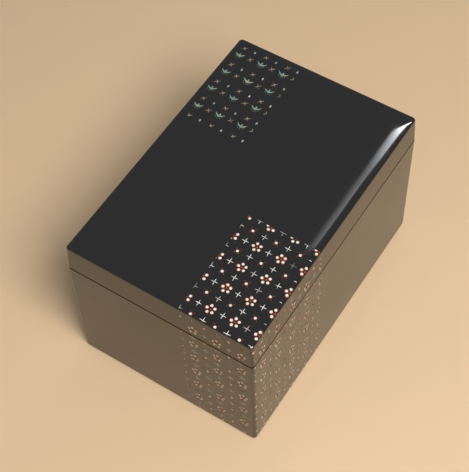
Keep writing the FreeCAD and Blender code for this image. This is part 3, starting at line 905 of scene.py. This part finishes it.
wings = button(1.0, SHELL_RISE, 20)
for vertex in wings.data.vertices:
    chord, span = vertex.co.x, vertex.co.y
    vertex.co.x = chord * WING_CHORD / 2 - WING_CHORD / 2 + WING_SWEEP * span ** 2
    vertex.co.y = span * WING_SPAN / 2
tail = button(1.0, SHELL_RISE, 10)
for vertex in tail.data.vertices:
    length, width = vertex.co.x, vertex.co.y
    vertex.co.x = TAIL_LENGTH * (length + 1) / 2 - WING_CHORD / 2
    vertex.co.y = width * (TAIL_HALF_WIDTH - TAIL_NARROWING * length) * MM
bird = [wings, tail, button(HEAD_RADIUS, SHELL_RISE, 10, place=(-WING_CHORD, 0))]
for number in FEATHERS:
    spread = math.pi + number * FEATHER_TURN
    spot = (FEATHER_CIRCLE * math.cos(spread) + FEATHER_SHIFT, FEATHER_CIRCLE * math.sin(spread))
    bird.append(button(FEATHER_RADIUS, SHELL_RISE, 6, stretch=FEATHER_STRETCH, place=spot))
motifs["birds"] = joined("birds", bird)
motifs["chips"] = joined("chips", [button(CHIP_RADIUS, SHELL_RISE, 10, stretch=CHIP_STRETCH)])
motifs["hearts"] = joined("hearts", [button(0.5 * MM, SHELL_RISE, 8)])
motifs["gold"] = joined("gold_strokes", [
    stroke(5.0 * MM, GOLD_WIDTH, STROKE_RISE, math.radians(-52)),
    stroke(4.0 * MM, GOLD_WIDTH, STROKE_RISE, math.radians(38)),
    button(0.6 * MM, STROKE_RISE, 8)])

LAYER_SCALE = 75.0
LAYER_DETAIL = 4.0
LAYER_DISTORTION = 1.2
BLUE_UP_TO = 0.36
PALE_FROM = 0.66
SHELL_ROUGHNESS = 0.3
SHELL_COAT = 0.6
SHELL_COAT_ROUGHNESS = 0.05


def cut_shell(name, blue, green, pale):
    """Mother-of-pearl: clouded layers that turn from blue through green to a paler lustre."""
    material = bpy.data.materials.new(name)
    material.use_nodes = True
    tree = material.node_tree
    shader = tree.nodes["Principled BSDF"]
    layers = tree.nodes.new("ShaderNodeTexNoise")
    layers.inputs["Scale"].default_value = LAYER_SCALE
    layers.inputs["Detail"].default_value = LAYER_DETAIL
    layers.inputs["Distortion"].default_value = LAYER_DISTORTION
    tree.links.new(tree.nodes.new("ShaderNodeTexCoord").outputs["Object"], layers.inputs["Vector"])
    nacre = tree.nodes.new("ShaderNodeValToRGB")
    nacre.color_ramp.elements[0].position = BLUE_UP_TO
    nacre.color_ramp.elements[0].color = blue
    nacre.color_ramp.elements[1].position = PALE_FROM
    nacre.color_ramp.elements[1].color = pale
    nacre.color_ramp.elements.new(0.5).color = green
    tree.links.new(layers.outputs["Fac"], nacre.inputs["Fac"])
    tree.links.new(nacre.outputs["Color"], shader.inputs["Base Color"])
    shader.inputs["Roughness"].default_value = SHELL_ROUGHNESS
    shader.inputs["Coat Weight"].default_value = SHELL_COAT
    shader.inputs["Coat Roughness"].default_value = SHELL_COAT_ROUGHNESS
    return material


shell = cut_shell("green_shell", SHELL_BLUE, SHELL_GREEN, SHELL_OLIVE)
pale_shell = cut_shell("pale_shell", CHIP_BLUE, CHIP_GREY, CHIP_PALE)
gold_paint = raised_paint("gold_paint", GOLD, GOLD_WORN,
                          roughness=0.38, coat=0.1, wear_scale=260.0, wear_level=0.50)

right_back_top = Vector((cad_high.x, cad_high.y, cad_high.z))
BIRD_WIDTH = 85.0 * MM
BIRD_DEPTH = 56.5 * MM
BIRD_PITCH = 18.8 * MM
BIRD_REACH = 4.0 * MM
CHIP_PITCH = 18.3 * MM
BETWEEN = 11.4 * MM


def bird_patch(face, size, first, parts):
    """The bird repeat on one face; first is the first bird's place, measured like the patch."""
    columns = lattice(first[0], BIRD_PITCH, size[0])
    rows = lattice(first[1], BIRD_PITCH, size[1])
    between = lattice(first[0] + BETWEEN - BIRD_PITCH, BIRD_PITCH, size[0])
    half_rows = [place + BIRD_PITCH / 2 for place in rows]
    birds = [(column, row) for column in columns for row in rows]
    chips = [(column, row) for column in between
             for row in lattice(first[1] + CHIP_PITCH / 2, CHIP_PITCH, size[1])]
    strokes = [(column, row) for column in between for row in rows]
    strokes += [(column, row) for column in columns for row in half_rows]
    for part, body, grounds, nearest, farthest in parts:
        cuts = patch_cuts(face, body, size[0], nearest, farthest)
        here_birds, here_chips, here_strokes = [
            near_part(spots, nearest, farthest, size[0] + BIRD_REACH)
            for spots in (birds, chips, strokes)]
        decorate(f"birds_{part}", face, body, grounds, shell,
                 [(motifs["birds"], here_birds)], cuts)
        decorate(f"chips_{part}", face, body, grounds, pale_shell,
                 [(motifs["chips"], here_chips), (motifs["hearts"], here_strokes)], cuts)
        decorate(f"gold_strokes_{part}", face, body, grounds, gold_paint,
                 [(motifs["gold"], here_strokes)], cuts)


bird_patch(
    (right_back_top, -X, -Y, Y, Z), (BIRD_WIDTH, BIRD_DEPTH), first=(16.4 * MM, 9.6 * MM),
    parts=[("lid_top", "lid", [lid_top], top_kept_clear, BIRD_DEPTH)])
bird_patch(
    (right_back_top, -Y, -Z, Z, X), (BIRD_DEPTH, full_depth), first=(9.6 * MM, 9.4 * MM),
    parts=[("lid_right", "lid", [nodes["lid_right_rim"], nodes["lid_back_rim"], lid_top],
            EDGE_KEPT_CLEAR, lid_depth - RIM_EDGE),
           ("box_right", "box", [nodes["right_end_board"], nodes["back_board"]],
            lid_depth + BOX_MOUTH, full_depth)])
bird_patch(
    (right_back_top, -X, -Z, Z, Y), (BIRD_WIDTH, full_depth), first=(16.4 * MM, 9.4 * MM),
    parts=[("lid_back", "lid", [nodes["lid_back_rim"], lid_top],
            EDGE_KEPT_CLEAR, lid_depth - RIM_EDGE),
           ("box_back", "box", [nodes["back_board"]], lid_depth + BOX_MOUTH, full_depth)])

for pattern in motifs.values():
    bpy.data.objects.remove(pattern)
